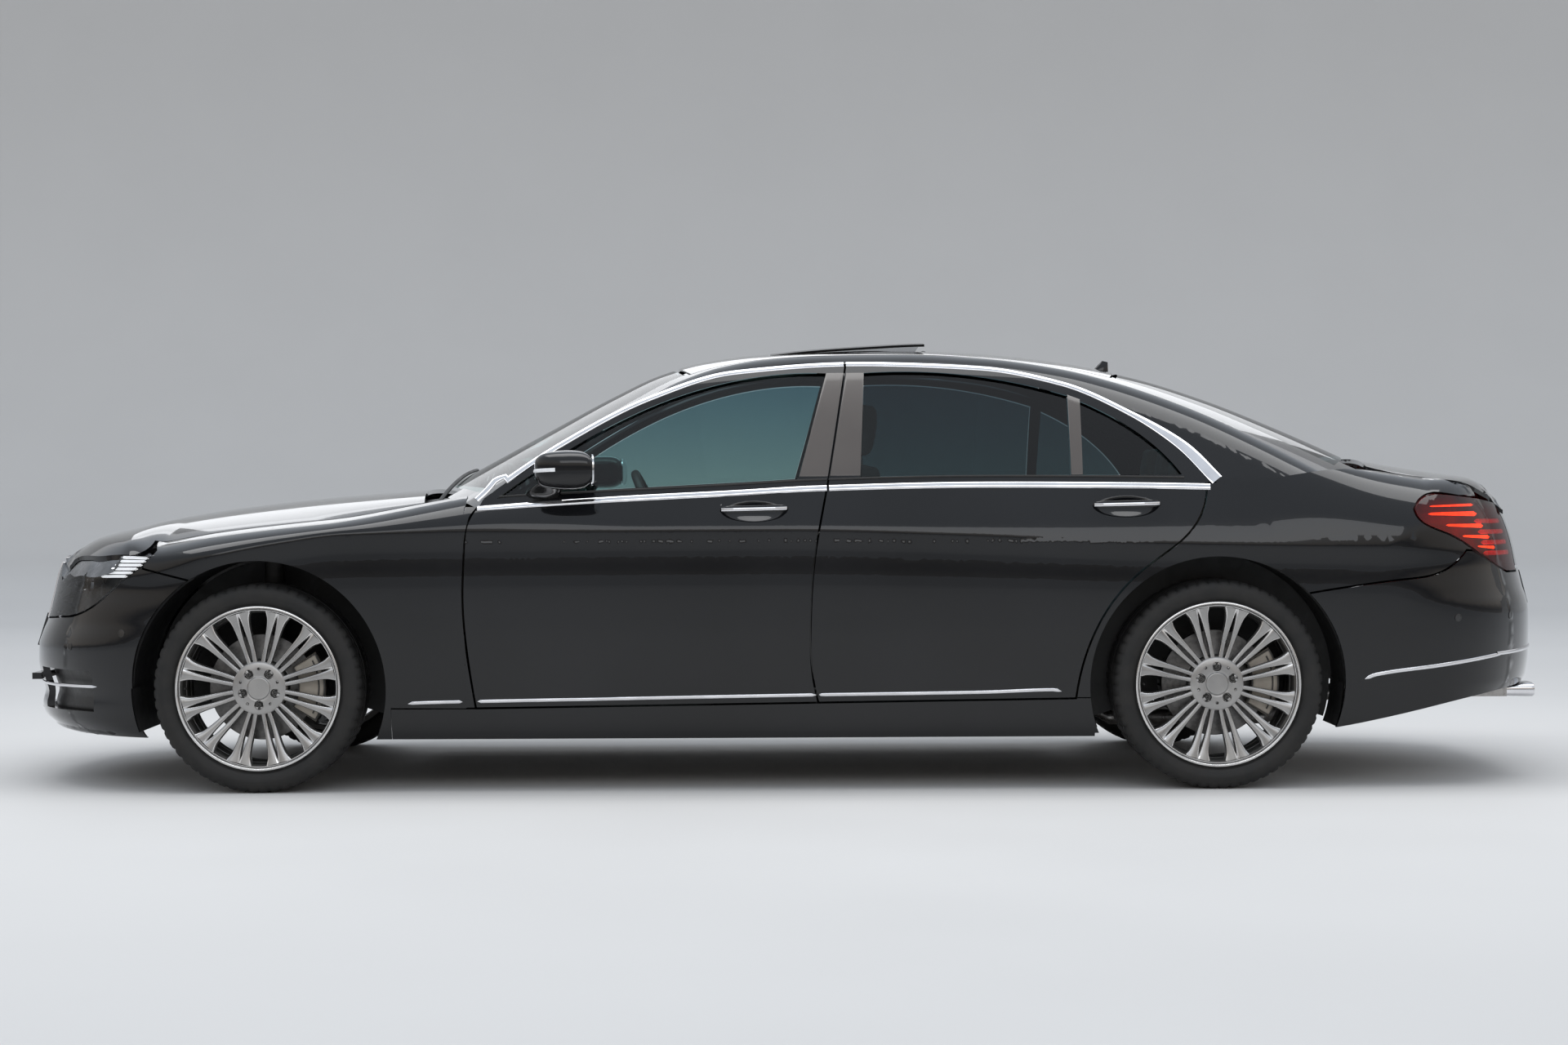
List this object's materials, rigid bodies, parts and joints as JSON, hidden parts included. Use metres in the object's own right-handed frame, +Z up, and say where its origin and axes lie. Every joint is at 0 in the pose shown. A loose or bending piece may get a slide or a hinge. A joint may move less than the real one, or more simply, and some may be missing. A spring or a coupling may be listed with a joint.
{
  "type": "luxury sedan",
  "caption": "Full-size four-door saloon with a long hood, swept roof, opening doors, hood and boot lid, steered front wheels and a furnished cabin.",
  "frame": {"origin": "on the ground under the middle of the bounding box", "axes": "+X to the rear of the car, +Y to its right side, +Z up"},
  "size_m": [5.242, 2.13, 1.5117],
  "materials": {
    "body_paint": "gloss",
    "painted_structure": "satin",
    "black_plastic": "matte",
    "trim_plastic": "matte",
    "tinted_glass": "clear",
    "clear_lens": "clear",
    "red_lens": "clear",
    "chrome_trim": "polished",
    "tyre_rubber": "matte",
    "wheel_alloy": "satin",
    "steel_parts": "satin",
    "cast_parts": "cast",
    "seat_leather": "satin"
  },
  "bodies": {
    "chassis": {"cowl": "black_plastic", "dashboard": "trim_plastic", "engine": "cast_parts", "exhaust": "steel_parts", "floor_pan": "painted_structure", "front_bumper": "body_paint", "front_seats": "seat_leather", "front_subframe": "cast_parts", "grille": "chrome_trim", "headlights": "clear_lens", "left_body_side": "body_paint", "left_front_fender": "body_paint", "left_wheelhouses": "black_plastic", "radiator": "black_plastic", "rear_axle": "cast_parts", "rear_bumper": "body_paint", "rear_seat": "seat_leather", "rear_window": "tinted_glass", "right_body_side": "body_paint", "right_front_fender": "body_paint", "right_wheelhouses": "black_plastic", "roof_panel": "body_paint", "sunroof_panel": "tinted_glass", "tail_lights": "red_lens", "windscreen": "tinted_glass"},
    "left_front_door": {"left_front_door": "body_paint", "left_front_door_glass": "tinted_glass", "left_mirror": "body_paint"},
    "right_front_door": {"right_front_door": "body_paint", "right_front_door_glass": "tinted_glass", "right_mirror": "body_paint"},
    "left_rear_door": {"left_rear_door": "body_paint", "left_rear_door_glass": "tinted_glass"},
    "right_rear_door": {"right_rear_door": "body_paint", "right_rear_door_glass": "tinted_glass"},
    "hood": {"hood": "body_paint"},
    "boot_lid": {"boot_lid": "body_paint"},
    "left_front_wheel": {"left_front_tyre": "tyre_rubber", "left_front_wheel": "wheel_alloy"},
    "right_front_wheel": {"right_front_tyre": "tyre_rubber", "right_front_wheel": "wheel_alloy"},
    "left_rear_wheel": {"left_rear_tyre": "tyre_rubber", "left_rear_wheel": "wheel_alloy"},
    "right_rear_wheel": {"right_rear_tyre": "tyre_rubber", "right_rear_wheel": "wheel_alloy"},
    "left_knuckle": {"left_knuckle": "cast_parts"},
    "right_knuckle": {"right_knuckle": "cast_parts"},
    "steering_wheel": {"steering_wheel": "seat_leather"}
  },
  "joints": [
    {"name": "left_front_door_hinge", "type": "hinge", "parent": "chassis", "child": "left_front_door", "pos_m": [-1.007, -0.934, 0.6], "axis": [0, 0, -1], "range_deg": [0, 65]},
    {"name": "left_rear_door_hinge", "type": "hinge", "parent": "chassis", "child": "left_rear_door", "pos_m": [0.138, -0.937, 0.6], "axis": [0, 0, -1], "range_deg": [0, 65]},
    {"name": "right_front_door_hinge", "type": "hinge", "parent": "chassis", "child": "right_front_door", "pos_m": [-1.007, 0.934, 0.6], "axis": [0, 0, 1], "range_deg": [0, 65]},
    {"name": "right_rear_door_hinge", "type": "hinge", "parent": "chassis", "child": "right_rear_door", "pos_m": [0.138, 0.937, 0.6], "axis": [0, 0, 1], "range_deg": [0, 65]},
    {"name": "hood_hinge", "type": "hinge", "parent": "chassis", "child": "hood", "pos_m": [-1.19, 0, 0.96], "axis": [0, 1, 0], "range_deg": [0, 48]},
    {"name": "boot_hinge", "type": "hinge", "parent": "chassis", "child": "boot_lid", "pos_m": [1.965, 0, 1.075], "axis": [0, -1, 0], "range_deg": [0, 75]},
    {"name": "left_steer", "type": "hinge", "parent": "chassis", "child": "left_knuckle", "pos_m": [-1.732, -0.745, 0.345], "axis": [0, 0, 1], "range_deg": [-33, 33]},
    {"name": "right_steer", "type": "hinge", "parent": "chassis", "child": "right_knuckle", "pos_m": [-1.732, 0.745, 0.345], "axis": [0, 0, 1], "range_deg": [-33, 33]},
    {"name": "left_front_wheel_spin", "type": "hinge", "parent": "left_knuckle", "child": "left_front_wheel", "pos_m": [-1.732, -0.798, 0.345], "axis": [0, 1, 0], "continuous": true},
    {"name": "left_rear_wheel_spin", "type": "hinge", "parent": "chassis", "child": "left_rear_wheel", "pos_m": [1.433, -0.803, 0.345], "axis": [0, 1, 0], "continuous": true},
    {"name": "right_front_wheel_spin", "type": "hinge", "parent": "right_knuckle", "child": "right_front_wheel", "pos_m": [-1.732, 0.798, 0.345], "axis": [0, 1, 0], "continuous": true},
    {"name": "right_rear_wheel_spin", "type": "hinge", "parent": "chassis", "child": "right_rear_wheel", "pos_m": [1.433, 0.803, 0.345], "axis": [0, 1, 0], "continuous": true},
    {"name": "steering_wheel_turn", "type": "hinge", "parent": "chassis", "child": "steering_wheel", "pos_m": [-0.43, -0.38, 0.88], "axis": [0.9063, 0, 0.4226], "range_deg": [-462, 462]}
  ],
  "couplings": [
    {"joint": "right_steer", "follows": "left_steer", "ratio": 1},
    {"joint": "steering_wheel_turn", "follows": "left_steer", "ratio": 14}
  ]
}
